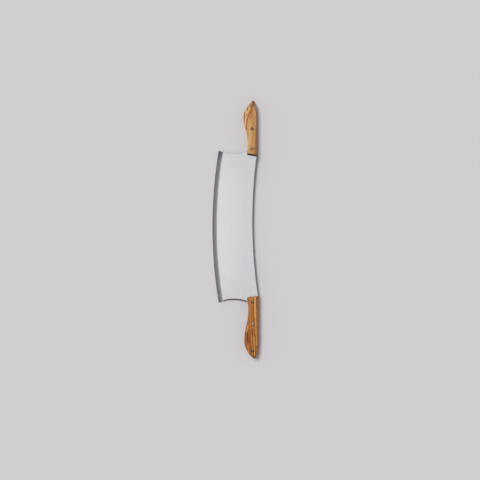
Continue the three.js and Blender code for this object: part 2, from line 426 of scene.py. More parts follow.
def turned(graph, rows, radius, height, steps):
    """A closed solid turned about z: a grid rolled up by the radius and height of each of its rows."""
    grid = graph.add("GeometryNodeMeshGrid", 1.0, 1.0, rows, steps + 1)
    index = graph.add("GeometryNodeInputIndex")
    # Half a step keeps the row clear of rounding
    row = graph.math("FLOOR", graph.math("DIVIDE", graph.math("ADD", index, 0.5), steps + 1))
    column = graph.math("SUBTRACT", index, graph.math("MULTIPLY", row, steps + 1))
    angle = graph.math("MULTIPLY", column, 2 * math.pi / steps)
    out, up = radius(row), height(row)
    x = graph.math("MULTIPLY", graph.math("COSINE", angle), out)
    y = graph.math("MULTIPLY", graph.math("SINE", angle), out)
    rolled = graph.add("GeometryNodeSetPosition", grid, None, graph.xyz(x, y, up))
    closed = graph.add("GeometryNodeMergeByDistance", rolled, None, MERGE_DISTANCE)
    return graph.add("GeometryNodeFlipFaces", closed)


def by_row(graph, values):
    """A field that gives each row of a turned solid its own value."""

    def field(row):
        chosen = graph.add("GeometryNodeIndexSwitch", row, data_type="FLOAT")
        node = chosen.node
        while len(node.index_switch_items) < len(values):
            node.index_switch_items.new()
        for socket, value in zip(node.inputs[1:], values):
            graph.put(socket, value)
        return node.outputs[0]

    return field


def turned_profile(graph, profile, steps):
    """A closed solid turned about z from a profile of (radius, height) points."""
    radii, heights = (by_row(graph, values) for values in zip(*profile))
    return turned(graph, len(profile), radii, heights, steps)


def facing_its_side(graph, inputs, solid):
    """Turns a solid over where the tree's side is the back."""
    half_turn = graph.math("MULTIPLY", graph.math("LESS_THAN", inputs["Side"], 0.0), math.pi)
    return graph.add("GeometryNodeTransform", solid, None, graph.xyz(half_turn))


def cut_at_rivets(graph, inputs, solid, cutter):
    """Cuts a solid with a cutter at every rivet."""
    places = graph.add("GeometryNodeObjectInfo", inputs["Rivet Places"], out="Geometry")
    cutters = graph.add("GeometryNodeInstanceOnPoints", places, None, cutter)
    cut = graph.add("GeometryNodeMeshBoolean", solid, operation="DIFFERENCE", solver="EXACT")
    graph.put(cut.node.inputs[1], graph.add("GeometryNodeRealizeInstances", cutters))
    return cut


def finish_mesh(piece, sharp_angle):
    """Lays a flat-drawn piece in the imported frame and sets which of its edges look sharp."""
    mesh = piece.data
    work = bmesh.new()
    work.from_mesh(mesh)
    bmesh.ops.remove_doubles(work, verts=work.verts, dist=MERGE_DISTANCE)
    bmesh.ops.dissolve_degenerate(work, edges=work.edges, dist=SHORTEST_EDGE)
    bmesh.ops.recalc_face_normals(work, faces=work.faces)
    work.to_mesh(mesh)
    work.free()
    mesh.transform(lay_down)
    mesh.shade_smooth()
    mesh.set_sharp_from_angle(angle=sharp_angle)
    mesh.update()


# Blade


def arc(start, through, end, steps):
    """Points of the circular arc from start through a point to end, without start."""
    start, through, end = (np.array(p, float) for p in (start, through, end))
    a, b = through - start, end - start
    twice = 2 * (a[0] * b[1] - a[1] * b[0])
    aa, bb = a @ a, b @ b
    centre = start + np.array([b[1] * aa - a[1] * bb, a[0] * bb - b[0] * aa]) / twice
    p, q = start - centre, end - centre
    sweep = math.atan2(p[0] * q[1] - p[1] * q[0], p @ q)
    turns = sweep * np.arange(1, steps + 1) / steps
    c, s = np.cos(turns), np.sin(turns)
    return centre + np.column_stack([c * p[0] - s * p[1], s * p[0] + c * p[1]])


def tip_rise():
    """How much higher the tips of the cutting edge lie than its middle."""
    return EDGE_RADIUS - math.sqrt(EDGE_RADIUS**2 - (BLADE_LENGTH / 2) ** 2)


def blade_end(handle):
    """One end of the blade: the tip of its edge, the hollow end, the heel and the tang up to its neck."""
    side = handle["side"]
    tip = np.array([tip_rise(), side * BLADE_LENGTH / 2])
    heel = np.array([heel_x(handle), side * (BLADE_LENGTH / 2 - HEEL_SETBACK)])
    hollow = (tip + heel) / 2 - np.array([0, side * handle["hollow"]])
    spine_side, belly_side = (on_handle(handle, s) for s in handle_sides(handle, TANG_STEPS))
    across = spine_side[0] - heel
    beyond = belly_side - heel
    past_heel = side * (across[0] * beyond[:, 1] - across[1] * beyond[:, 0]) > TOUCHING_AREA
    margin = np.array([-BLANK_MARGIN, tip[1]])
    hollow_end = arc(tip, hollow, heel, END_STEPS)
    return np.vstack([[margin], [tip], hollow_end, belly_side[past_heel], spine_side[-2::-1]])


def plate_outline():
    """The whole plate with both tangs, running past its cutting edge, as one closed outline."""
    short_end, long_end = (blade_end(HANDLES[name]) for name in ("short_handle", "long_handle"))
    spine = arc(short_end[-1], (BLADE_HEIGHT, 0), long_end[-1], SPINE_STEPS)
    return np.vstack([short_end, spine, long_end[-2::-1]])


def inset(outline, depth):
    """An outline moved inwards by each point's own depth, on whichever side of it that is."""
    before = outline - np.roll(outline, 1, axis=0)
    after = np.roll(outline, -1, axis=0) - outline
    area = np.sum(outline[:, 0] * after[:, 1] - outline[:, 1] * after[:, 0])
    normals = []
    for step in (before, after):
        normal = np.column_stack([-step[:, 1], step[:, 0]]) * math.copysign(1, area)
        normals.append(normal / np.linalg.norm(normal, axis=1)[:, None])
    middle = normals[0] + normals[1]
    # A sharp corner is held back, so that it doesn't run far in
    spread = np.sum(middle * middle, axis=1).clip(1.0)
    return outline + (2 * depth / spread)[:, None] * middle


def edge_rubs(outline):
    """How wide and how deep each point of the plate's outline is rubbed round."""
    x, y = outline.T
    rubs = np.tile(SPINE_RUB, (len(outline), 1))
    shoulder_x = tip_rise() + BEVEL_WIDTH
    for handle in HANDLES.values():
        at_end = handle["side"] * y >= wood_end(handle)
        share = np.clip(np.minimum(heel_x(handle) - x, x - shoulder_x) / RUB_FADE, 0, 1)[:, None]
        end_rubs = TANG_RUB + (np.array(handle["end_rub"]) - TANG_RUB) * share
        rubs = np.where(at_end[:, None], end_rubs, rubs)
    return rubs.T


def plate_blank():
    """The plate before it is ground, with its edges rubbed round."""
    outline = plate_outline()
    count = len(outline)
    width, depth = edge_rubs(outline)
    levels = []
    for turn in np.linspace(0, math.pi / 2, ROUND_ROWS):
        ring = inset(outline, width * (1 - math.sin(turn)))
        levels.append(np.column_stack([ring, half_plate - depth * (1 - math.cos(turn))]))
    points = np.vstack([ring * (1, 1, -1) for ring in levels] + levels[::-1])
    last = 2 * len(levels) - 1
    faces = [list(range(count)), [last * count + i for i in reversed(range(count))]]
    for level in range(last):
        for i in range(count):
            a, b = level * count + i, level * count + (i + 1) % count
            faces.append([a, a + count, b + count, b])
    return mesh_of("plate_blank", points, faces)


def grinding_disc(graph, inputs):
    """A disc as large as the circle of the cutting edge, with the bevel of both faces at its rim. Its rows
    run from the pole at the back out to the edge, and in again to the pole at the front."""
    width, slope, half_thickness = (inputs[n] for n in ("Bevel Width", "Shoulder Slope", "Half Thickness"))
    shoulder = graph.math("SUBTRACT", inputs["Edge Radius"], width)
    fall = graph.math("SUBTRACT", half_thickness, inputs["Half Land"])
    curved_fall = graph.math("SUBTRACT", fall, graph.math("MULTIPLY", slope, width))
    bend = graph.math("DIVIDE", curved_fall, graph.math("MULTIPLY", width, width))
    last = 2 * (BEVEL_ROWS + POLE_ROWS) + 1

    def from_shoulder(row):
        """How many rows from its pole a row lies, and how far out from the shoulder."""
        near = graph.math("MINIMUM", row, graph.math("SUBTRACT", last, row))
        share = graph.math("DIVIDE", graph.math("SUBTRACT", near, POLE_ROWS), BEVEL_ROWS)
        return near, graph.math("MULTIPLY", share, width)

    def radius(row):
        near, out = from_shoulder(row)
        off_pole = graph.math("MINIMUM", near, 1.0)
        return graph.math("MULTIPLY", graph.math("ADD", shoulder, out), off_pole)

    def height(row):
        near, out = from_shoulder(row)
        curved = graph.math("MULTIPLY", graph.math("MULTIPLY", out, out), bend)
        curved = graph.math("MULTIPLY", curved, graph.math("GREATER_THAN", out, 0.0))
        drop = graph.math("ADD", graph.math("MULTIPLY", out, slope), curved)
        size = graph.math("SUBTRACT", half_thickness, drop)
        front = graph.math("GREATER_THAN", row, last / 2)
        sign = graph.math("SUBTRACT", graph.math("MULTIPLY", front, 2.0), 1.0)
        return graph.math("MULTIPLY", size, sign)

    rolled = turned(graph, last + 1, radius, height, GRIND_STEPS)
    return graph.add("GeometryNodeTransform", rolled, graph.xyz(inputs["Edge Radius"]))


def grinding_tree():
    """Grinds a plate to the rim of a disc and drills it for its rivets."""
    sizes = ["Edge Radius", "Bevel Width", "Half Thickness", "Half Land", "Shoulder Slope", "Bore Radius"]
    graph, inputs, end = node_tree("grind_and_drill", sizes, ["Rivet Places"])
    disc = grinding_disc(graph, inputs)
    ground = graph.add("GeometryNodeMeshBoolean", None, disc, operation="INTERSECT", solver="EXACT")
    graph.put(ground.node.inputs[1], inputs["Geometry"])
    drill = graph.add("GeometryNodeMeshCylinder", DRILL_STEPS, 1, 1, inputs["Bore Radius"], DRILL_LENGTH)
    return end(cut_at_rivets(graph, inputs, ground, drill))


# Wood


def stations(handle):
    """Shares of a handle's length at which its form is drawn: close by the rounded end and the tip."""
    length = handle["length"]
    end_round = WOOD_ROUND * (1 - np.cos(np.linspace(0, math.pi / 2, ROUND_ROWS)))
    tip_round = length - NOSE_LENGTH * np.linspace(1, 0, NOSE_ROWS) ** 2
    middle = np.linspace(end_round[-1], tip_round[0], BODY_ROWS)
    return np.concatenate([end_round[:-1], middle, tip_round[1:]]) / length


def distance_to(outline, points):
    """How far each point is from a closed outline."""
    a, b = outline, np.roll(outline, -1, axis=0)
    step = b - a
    best = np.full(len(points), np.inf)
    for start, along in zip(a, step):
        away = points - start
        share = np.clip(away @ along / max(along @ along, TINY), 0, 1)
        best = np.minimum(best, np.hypot(*(away - share[:, None] * along).T))
    return best


def soft_least(a, b, softness):
    """The lesser of two heights, with a rubbed-over ridge where they meet."""
    share = np.clip(0.5 + 0.5 * (b - a) / softness, 0, 1)
    return b + (a - b) * share - softness * share * (1 - share)


def scale_height(handle, outline, points):
    """Height of a scale's outside at (along, drop) points: its face, belly facet and rounded edge."""
    skew = handle["facet_skew"]
    belly_along = handle["length"] - handle["belly_back"]
    along, drop = points.T
    past_ridge = (along - belly_along) * math.sin(skew)
    past_ridge += (drop - handle["belly_width"] + handle["facet_width"]) * math.cos(skew)
    facet = outer_face - past_ridge * math.tan(FACET_SLOPE)
    height = soft_least(np.full(len(points), outer_face), facet, FACET_SOFTNESS)
    edge = np.clip(WOOD_ROUND - distance_to(outline, points), 0, WOOD_ROUND)
    return height - (WOOD_ROUND - np.sqrt(WOOD_ROUND**2 - edge**2))


def scale_grid(handle, spine_side, belly_side):
    """Rows of (along, drop) points from one side of a handle to the other, closer by the rounded edges."""
    shares = stations(handle)
    sides = []
    for side in (spine_side, belly_side):
        along = side[0, 0] + (handle["length"] - side[0, 0]) * shares
        sides.append(np.column_stack([along, np.interp(along, side[:, 0], side[:, 1])]))
    edge = 1 - np.cos(np.linspace(0, math.pi / 2, ROUND_ROWS))
    columns = []
    for width in np.linalg.norm(sides[1] - sides[0], axis=1):
        rounded = edge * min(WOOD_ROUND, WOOD_ROUND_SHARE * width)
        inner = np.linspace(rounded[-1], width - rounded[-1], FACE_COLUMNS)[1:-1]
        columns.append(np.concatenate([rounded, inner, width - rounded[::-1]]) / max(width, TINY))
    share = np.clip(np.array(columns), 0, 1)[:, :, None]
    return sides[0][:, None, :] * (1 - share) + sides[1][:, None, :] * share


def scale_form(handle, face):
    """A scale without its bores, on the front face (1) or the back face (-1) of the tang."""
    spine_side, belly_side = handle_sides(handle, WOOD_STEPS)
    outline = np.vstack([spine_side, belly_side[-2::-1]])
    grid = scale_grid(handle, spine_side, belly_side)
    rows, across = grid.shape[:2]
    drawn = grid.reshape(-1, 2)
    top = np.maximum(scale_height(handle, outline, drawn), seat)
    index = np.arange(rows * across).reshape(rows, across)
    around = [*index[0, :], *index[1:, -1], *index[-2:0:-1, 0]]
    flat = on_handle(handle, drawn)
    under = np.column_stack([flat[around], np.full(len(around), seat)])
    points = np.vstack([np.column_stack([flat, top]), under]) * (1, 1, face)
    faces = []
    for i in range(rows - 1):
        for j in range(across - 1):
            faces.append([index[i, j], index[i + 1, j], index[i + 1, j + 1], index[i, j + 1]])
    first, count = rows * across, len(around)
    for i in range(count):
        j = (i + 1) % count
        faces.append([around[i], around[j], first + j, first + i])
    faces.append([first + i for i in range(count)])
    return mesh_of("scale_form", points, faces)


def boring_tree():
    """Bores a scale for its rivets: a seat for each head, and a hole for each tube."""
    sizes = ["Bore Radius", "Seat Radius", "Seat Height", "Side"]
    graph, inputs, end = node_tree("bore_for_rivets", sizes, ["Rivet Places"])
    bore, seat_radius, seat_height, _ = (inputs[name] for name in sizes)
    low, high = CUTTER_REACH
    profile = [
        (0.0, low),
        (bore, low),
        (bore, seat_height),
        (seat_radius, seat_height),
        (seat_radius, high),
        (0.0, high),
    ]
    cutter = facing_its_side(graph, inputs, turned_profile(graph, profile, CUTTER_STEPS))
    return end(cut_at_rivets(graph, inputs, inputs["Geometry"], cutter))


# Rivets


def head_profile(graph, inputs):
    """Half of a domed head, from its underside over the worn rim to the middle of its crown."""
    head, rim_height, rim_break = (inputs[n] for n in ("Head Radius", "Rim Height", "Rim Break"))
    below_rim = graph.math("SUBTRACT", rim_height, rim_break)
    inside_rim = graph.math("SUBTRACT", head, rim_break)
    profile = [(head, inputs["Head Underside"]), (head, below_rim), (inside_rim, rim_height)]
    for k in range(1, CROWN_ROWS + 1):
        share = 1 - k / CROWN_ROWS
        rise = graph.math("MULTIPLY", inputs["Crown"], 1 - share**2)
        profile.append((graph.math("MULTIPLY", inside_rim, share), graph.math("ADD", rim_height, rise)))
    return profile


def post_shank(inputs):
    """The post, from the middle of its end."""
    radius, far = inputs["Shank Radius"], inputs["Shank End"]
    return [(0.0, far), (radius, far), (radius, inputs["Head Underside"])]


def tube_shank(inputs):
    """The tube, from the bottom of its hole up the inside, over its end and down the outside."""
    hole, radius = inputs["Hole Radius"], inputs["Shank Radius"]
    far, under = inputs["Shank End"], inputs["Head Underside"]
    return [(0.0, under), (hole, under), (hole, far), (radius, far), (radius, under)]


def rivet_tree(name, sizes, shank):
    """Sets a turned rivet half at every place, with marks on it that its finish reads."""
    graph, inputs, end = node_tree(name, sizes)
    half = turned_profile(graph, [*shank(inputs), *head_profile(graph, inputs)], RIVET_STEPS)
    place = graph.add("ShaderNodeSeparateXYZ", graph.add("GeometryNodeInputPosition"))
    x, y, _ = place.node.outputs
    out = graph.math("SQRT", graph.math("ADD", graph.math("MULTIPLY", x, x), graph.math("MULTIPLY", y, y)))
    for mark, value in (("from_axis", out), ("towards_spine", x)):
        half = graph.add(
            "GeometryNodeStoreNamedAttribute", half, None, mark, value, data_type="FLOAT", domain="POINT"
        )
    facing = facing_its_side(graph, inputs, half)
    return end(graph.add("GeometryNodeInstanceOnPoints", inputs["Geometry"], None, facing))


# Finishes
# A noise is given by its waves to the millimetre along x, y and z, its detail and its roughness. A tint is
# a colour and its strength. A range says where a mask over a noise or a length starts, and where it is
# full.


def new_material(name):
    material = bpy.data.materials.new(name)
    material.use_nodes = True
    graph = Graph(material.node_tree)
    shader = graph.tree.nodes.new("ShaderNodeBsdfPrincipled")
    graph.put(graph.tree.nodes.new("ShaderNodeOutputMaterial").inputs["Surface"], shader.outputs[0])
    return material, graph, shader.inputs


def flat_place(graph, origin=(0.0, 0.0, 0.0), mirror=(1.0, 1.0, 1.0)):
    """Where a shaded point lies in the flat drawing, in millimetres from an origin there."""
    on_piece = graph.add("ShaderNodeTexCoord", out="Object")
    mapping = graph.add("ShaderNodeMapping", on_piece, vector_type="TEXTURE")
    inputs = mapping.node.inputs
    inputs["Location"].default_value = lay_down @ Vector(origin)
    inputs["Rotation"].default_value = (0.0, -LEAN, 0.0)
    inputs["Scale"].default_value = Vector(mirror) * MM
    return mapping


def streak(graph, place, start, end, half_width, softness):
    """A soft mask along the line from start to end, both in a place's first two coordinates."""
    first = Vector((*start, 0.0))
    line = Vector((*end, 0.0)) - first
    away = graph.vector("SUBTRACT", graph.vector("MULTIPLY", place, (1.0, 1.0, 0.0)), first)
    share = graph.math("DIVIDE", graph.vector("DOT_PRODUCT", away, line, out="Value"), line.length_squared)
    share = graph.add("ShaderNodeClamp", share)
    nearest = graph.vector("SCALE", line)
    graph.put(nearest.node.inputs["Scale"], share)
    distance = graph.vector("LENGTH", graph.vector("SUBTRACT", away, nearest), out="Value")
    return graph.ease(distance, half_width + softness, max(half_width - softness, 0.0))


MID_RANGE = (0.3, 0.7)  # of a noise, whose values seldom lie further out

# Blade steel
BRUSHED = ((7.0, 0.05, 7.0), 4.0, 0.6)
MOTTLED = ((0.05, 0.05, 0.05), 3.0, 0.55)
GROUND = ((4.0, 0.06, 0.0), 3.0, 0.6)
FLAT_STEEL = (srgb(224, 224, 227), srgb(234, 234, 236))  # mottled between these
# Painted shade: the flat darkens towards the spine and towards both ends
SPINE_PAINTED_SHADE = srgb(217, 217, 221)
ENDS_PAINTED_SHADE = (srgb(206, 206, 209), 0.3)
ENDS_RANGE = (0.2 * BLADE_LENGTH, 0.5 * BLADE_LENGTH)
BRUSHED_TINT = (srgb(186, 186, 191), 0.10)
# The bevel's ground finish is darker than the flat; painted reflection darkens it further from the
# shoulder to the edge, and most at the upper tip
SHOULDER_STEEL = srgb(216, 216, 220)
SHOULDER_BLUR = 0.12
BEVEL_STEEL = srgb(193, 193, 198)
BEVEL_SHADE_WIDTH = 4.0  # from the shoulder out
GROUND_TINT = (srgb(180, 180, 185), 0.3)
UPPER_TIP_PAINTED_REFLECTION = srgb(146, 146, 152)
UPPER_TIP_RANGE = (0.42 * BLADE_LENGTH, 0.5 * BLADE_LENGTH)
# Cut edges: a rougher finish, darkened further with painted shade
CUT_STEEL = srgb(134, 134, 138)
CUT_RANGE = (0.985, 0.9)  # cosine of a face's turn from the flat
# Painted light on the cut edge of the short end, as if lit by the window
SHORT_END_PAINTED_LIGHT = srgb(196, 196, 200)
# Painted shadow over the rounded edge of the long end
LONG_END_PAINTED_SHADOW = srgb(40, 38, 40)
LONG_END_RANGE = (0.998, 0.97)  # the same cosine
END_INNER_RANGE = (0.46 * BLADE_LENGTH, 0.47 * BLADE_LENGTH)  # from the middle of the blade
END_OUTER_RANGE = (0.51 * BLADE_LENGTH, 0.505 * BLADE_LENGTH)
HEEL_BLUR = 1.0
# Painted shadow and reflection of the wood's end, on the blade beside the short handle
JOINT_PAINTED_SHADOW = (srgb(46, 30, 16), 0.92)
JOINT_SHADOW_GAP = 0.6  # from the wood to its middle
JOINT_SHADOW_BREADTH = (1.0, 0.6)  # half width and softness
FLAT_ROUGHNESS = (0.20, 0.26)
MOTTLED_ROUGHNESS = 0.05
BEVEL_ROUGHNESS = (0.12, 0.18)
CUT_ROUGHNESS = 0.12
SCRATCH_BUMP = (0.04, 0.00002)


def hollow_end(graph, across, along, name):
    """A mask over the hollow end of the blade beside a handle, from its tip up to the heel."""
    handle = HANDLES[name]
    heel = heel_x(handle)
    out = graph.math("MULTIPLY", along, float(handle["side"]))
    mask = graph.math("MULTIPLY", graph.ease(out, *END_INNER_RANGE), graph.ease(out, *END_OUTER_RANGE))
    return graph.math("MULTIPLY", mask, graph.ease(across, heel + HEEL_BLUR, heel - HEEL_BLUR))


def flat_steel(graph, across, along, mottled, brushed):
    """The colour of the blade's flat, with painted shade making it a little darker towards the spine and
    the ends.
    """
    colour = graph.mix(mottled, *FLAT_STEEL)
    colour = graph.mix(graph.ease(across, BEVEL_WIDTH, BLADE_HEIGHT), colour, SPINE_PAINTED_SHADE)
    towards_ends = graph.ease(graph.math("ABSOLUTE", along), *ENDS_RANGE)
    colour = graph.tint(colour, towards_ends, *ENDS_PAINTED_SHADE)
    return graph.tint(colour, brushed, *BRUSHED_TINT)


def bevel_steel(graph, past_shoulder, along, ground):
    """The colour of the ground bevel: its own darker ground finish, with painted reflection darkening it
    towards the edge, and most at the upper tip.
    """
    outer_bevel = graph.ease(past_shoulder, 0.0, BEVEL_SHADE_WIDTH)
    colour = graph.mix(outer_bevel, SHOULDER_STEEL, BEVEL_STEEL)
    colour = graph.tint(colour, ground, *GROUND_TINT)
    return graph.mix(graph.ease(along, *UPPER_TIP_RANGE), colour, UPPER_TIP_PAINTED_REFLECTION)


def blade_steel():
    """Satin steel, brushed along the blade, with a polished ground bevel, darker cut edges partly from
    painted shade, painted light on the short end, and painted shadow on the long end and beside the short
    handle.
    """
    material, graph, shader = new_material("satin_blade_steel")
    place = flat_place(graph)
    across, along = (graph.add("ShaderNodeSeparateXYZ", place, out=i) for i in (0, 1))
    from_centre = graph.vector("SUBTRACT", place, (EDGE_RADIUS, 0.0, 0.0))
    radius = graph.vector("LENGTH", graph.vector("MULTIPLY", from_centre, (1.0, 1.0, 0.0)), out="Value")
    past_shoulder = graph.math("SUBTRACT", radius, EDGE_RADIUS - BEVEL_WIDTH)
    bevel = graph.ease(past_shoulder, -SHOULDER_BLUR, SHOULDER_BLUR)
    brushed = graph.noise(place, *BRUSHED)
    mottled = graph.noise(place, *MOTTLED)
    along_edge = graph.math("MULTIPLY", graph.math("ARCTAN2", along, EDGE_RADIUS), EDGE_RADIUS)
    ground = graph.noise(graph.xyz(along_edge, radius), *GROUND)
    flat_colour = flat_steel(graph, across, along, mottled, brushed)
    colour = graph.mix(bevel, flat_colour, bevel_steel(graph, past_shoulder, along, ground))
    normal = graph.add("ShaderNodeTexCoord", out="Normal")
    out_of_face = (-math.sin(LEAN), 0.0, math.cos(LEAN))
    facing = graph.math("ABSOLUTE", graph.vector("DOT_PRODUCT", normal, out_of_face, out="Value"))
    cut = graph.ease(facing, *CUT_RANGE)
    short_end, long_end = (hollow_end(graph, across, along, name) for name in HANDLES)
    # Cut edges darkened with painted shade, and lightened with painted light on the short end
    colour = graph.mix(cut, colour, graph.mix(short_end, CUT_STEEL, SHORT_END_PAINTED_LIGHT))
    # Painted shadow over the long end's rounded edge
    colour = graph.tint(colour, long_end, LONG_END_PAINTED_SHADOW, graph.ease(facing, *LONG_END_RANGE))
    # Painted shadow and reflection of the short handle's wood end, on the blade beside it
    beside_wood = joint_line(HANDLES["short_handle"], JOINT_SHADOW_GAP)
    stain_and_shadow = streak(graph, place, *beside_wood, *JOINT_SHADOW_BREADTH)
    graph.put(shader["Base Color"], graph.tint(colour, stain_and_shadow, *JOINT_PAINTED_SHADOW))
    flat_rough = graph.ease(brushed, *MID_RANGE, *FLAT_ROUGHNESS)
    flat_rough = graph.math("ADD", flat_rough, graph.math("MULTIPLY", mottled, MOTTLED_ROUGHNESS))
    rough = graph.between(bevel, flat_rough, graph.ease(ground, *MID_RANGE, *BEVEL_ROUGHNESS))
    graph.put(shader["Roughness"], graph.math("ADD", rough, graph.math("MULTIPLY", cut, CUT_ROUGHNESS)))
    shader["Metallic"].default_value = 1.0
    graph.put(shader["Normal"], graph.bump(graph.between(bevel, brushed, ground), *SCRATCH_BUMP))
    return material


# Rivet steel. Its pairs of colours are for dull heads and for bright ones.
TURNING_MARKS = ((9.0, 0.0, 0.0), 2.0, 0.6)
WORN = ((0.9, 0.9, 0.9), 3.0, 0.6)
CROWN_STEEL = (srgb(176, 158, 150), srgb(232, 217, 202))
WORN_TINT = (srgb(112, 98, 94), 0.4)
WORN_RANGE = (0.35, 0.7)
# Painted shade over the rim of each head
RIM_PAINTED_SHADE = (srgb(116, 98, 92), srgb(184, 168, 156))
RIM_SHADE_RANGE = (0.08 * HEAD_DIAMETER, 0.30 * HEAD_DIAMETER)
# Painted shade on the side of each head towards the spine
RIVET_PAINTED_SHADE = (srgb(54, 40, 34), srgb(136, 112, 96))
RIVET_PAINTED_SHADE_STRENGTH = 0.85
RIVET_PAINTED_SHADE_RANGE = (0.0, 0.30 * HEAD_DIAMETER)  # from the axis towards the spine
WORN_ROUGHNESS = (0.08, 0.16)
TURNED_ROUGHNESS = 0.06
TURNED_BUMP = (0.05, 0.00002)


def rivet_steel():
    """Worn rivet heads, some brighter than others, with faint turning marks, and painted shade over the
    rim and on the side towards the spine."""
    material, graph, shader = new_material("polished_rivet_steel")
    out, polish, spine_side = (
        graph.add("ShaderNodeAttribute", out="Fac", attribute_name=mark)
        for mark in ("from_axis", "polish", "towards_spine")
    )
    marks = graph.noise(graph.xyz(out), *TURNING_MARKS)
    worn = graph.noise(flat_place(graph), *WORN)
    crown = graph.mix(polish, *CROWN_STEEL)
    crown = graph.tint(crown, graph.ease(worn, *WORN_RANGE), *WORN_TINT)
    # Painted shade darkens the rim of each head
    colour = graph.mix(graph.ease(out, *RIM_SHADE_RANGE), crown, graph.mix(polish, *RIM_PAINTED_SHADE))
    # Painted shade on the side of each head towards the spine
    painted_spine_shade = graph.ease(spine_side, *RIVET_PAINTED_SHADE_RANGE)
    colour = graph.tint(colour, painted_spine_shade, graph.mix(polish, *RIVET_PAINTED_SHADE), RIVET_PAINTED_SHADE_STRENGTH)
    graph.put(shader["Base Color"], colour)
    rough = graph.ease(worn, *MID_RANGE, *WORN_ROUGHNESS)
    turned_rough = graph.math("MULTIPLY", marks, TURNED_ROUGHNESS)
    graph.put(shader["Roughness"], graph.math("ADD", rough, turned_rough))
    shader["Metallic"].default_value = 1.0
    graph.put(shader["Normal"], graph.bump(marks, *TURNED_BUMP))
    return material


# Handle wood. Its places are (drop, along) on a handle.
WANDER = ((0.045, 0.018, 0.06), 2.0, 0.5)
FEATHER = ((1.3, 0.09, 1.3), 3.0, 0.6)
FIBRES = ((4.5, 0.07, 4.5), 3.0, 0.65)
PORES = ((3.2, 0.22, 3.2), 2.0, 0.5)
CLOUDS = ((0.08, 0.035, 0.08), 2.0, 0.5)
TONE_STOPS = (0.0, 0.35, 0.65, 1.0)
CLOUD_RANGE = (0.35, 0.7)
CLOUD_STRENGTH = 0.22
LINE_RANGE = (0.56, 0.70)
MARK_WANDER = (1.4, 0.0, 1.4)  # how far a mark strays from its line
MARK_FEATHER = (0.9, 8.0, 0.9)  # how far its sides and ends are drawn out
SIDE_RANGE = (1.1, 0.2)  # drop at which the painted shade of the spine side starts and is full
FLECK_RANGE = (0.62, 0.75)
FLECK_STRENGTH = 0.35
FIBRE_RANGE = (0.25, 0.75)
FIBRE_LIFT = (0.86, 1.12)
END_GRAIN_FULL = 0.3 * WOOD_ROUND  # how far from the end of the wood its end grain is full
FIBRE_ROUGH_RANGE = (0.2, 0.8)
FIBRE_ROUGHNESS = (0.42, 0.56)
FLECK_ROUGHNESS = 0.15
WOOD_SHINE = 0.25
FLECK_DEPTH = 0.8  # to the height of a fibre
FIBRE_BUMP = (0.18, 0.0001)


def plain_wood(graph, place, wander, grain):
    """The colour of the wood itself: its tones in growth bands, with soft clouds and fine lines."""
    warped = graph.vector("ADD", place, graph.vector("MULTIPLY", wander, grain["wander"]))
    tones = grain["tones"]
    growth = graph.ease(graph.noise(warped, *grain["growth"]), *grain["growth_range"])
    colour = graph.ramp(growth, list(zip(TONE_STOPS, tones)))
    clouds = graph.ease(graph.noise(place, *CLOUDS), *CLOUD_RANGE)
    colour = graph.tint(colour, clouds, tones[1], CLOUD_STRENGTH)
    lines = graph.ease(graph.noise(warped, *grain["lines"]), *LINE_RANGE)
    return warped, graph.tint(colour, lines, *grain["line_tint"])


def marked_wood(graph, colour, place, wander, marks):
    """Adds streaks, stains, knots, painted highlights and painted shade where they are put. Each is its
    start and end as (along, drop), its half width, its softness, and its colour and strength."""
    strayed = graph.vector("ADD", place, graph.vector("MULTIPLY", wander, MARK_WANDER))
    feather = graph.vector("MULTIPLY", graph.drift(place, *FEATHER), MARK_FEATHER)
    wavering = graph.vector("ADD", strayed, feather)
    for start, end, half_width, softness, *tint in marks:
        mask = streak(graph, wavering, start[::-1], end[::-1], half_width, softness)
        colour = graph.tint(colour, mask, *tint)
    return colour


def from_wood_end(graph, place, handle):
    """How far a place lies from the slanting blade end of a handle's wood."""
    across_end = (-handle["end_slant"] / handle["end_width"], 1.0, 0.0)
    along = graph.vector("DOT_PRODUCT", place, across_end, out="Value")
    return graph.math("ADD", along, handle["end_slant"] / 2)


def handle_wood(name, handle, grain, marks):
    """Oiled wood with its grain along a handle, painted shade on its spine side, and darker end grain at
    its end, partly painted shade.
    """
    material, graph, shader = new_material(name)
    corner = (BLADE_HEIGHT + handle["rise"], handle["side"] * wood_end(handle), 0.0)
    place = flat_place(graph, corner, (-1.0, handle["side"], 1.0))
    wander = graph.drift(place, *WANDER)
    warped, colour = plain_wood(graph, place, wander, grain)
    colour = marked_wood(graph, colour, place, wander, marks)
    drop = graph.add("ShaderNodeSeparateXYZ", place)
    # Painted shade along the spine side
    colour = graph.tint(colour, graph.ease(drop, *SIDE_RANGE), *grain["painted_side_shade"])
    fleck = graph.ease(graph.noise(place, *PORES), *FLECK_RANGE)
    colour = graph.tint(colour, fleck, grain["pore"], FLECK_STRENGTH)
    fibres = graph.noise(warped, *FIBRES)
    lift = graph.ease(fibres, *FIBRE_RANGE, *FIBRE_LIFT)
    colour = graph.mix(1.0, colour, graph.add("ShaderNodeCombineColor", lift, lift, lift), "MULTIPLY")
    # Darker end grain at the blade end of the wood; on the short handle it is also painted shade of the
    # end face
    end_grain = graph.ease(from_wood_end(graph, place, handle), grain["end_reach"], END_GRAIN_FULL)
    graph.put(shader["Base Color"], graph.tint(colour, end_grain, *grain["end_grain_and_shade"]))
    rough = graph.ease(fibres, *FIBRE_ROUGH_RANGE, *FIBRE_ROUGHNESS)
    fleck_rough = graph.math("MULTIPLY", fleck, FLECK_ROUGHNESS)
    graph.put(shader["Roughness"], graph.math("ADD", rough, fleck_rough))
    shader["Specular IOR Level"].default_value = WOOD_SHINE
    relief = graph.math("SUBTRACT", fibres, graph.math("MULTIPLY", fleck, FLECK_DEPTH))
    graph.put(shader["Normal"], graph.bump(relief, *FIBRE_BUMP))
    return material


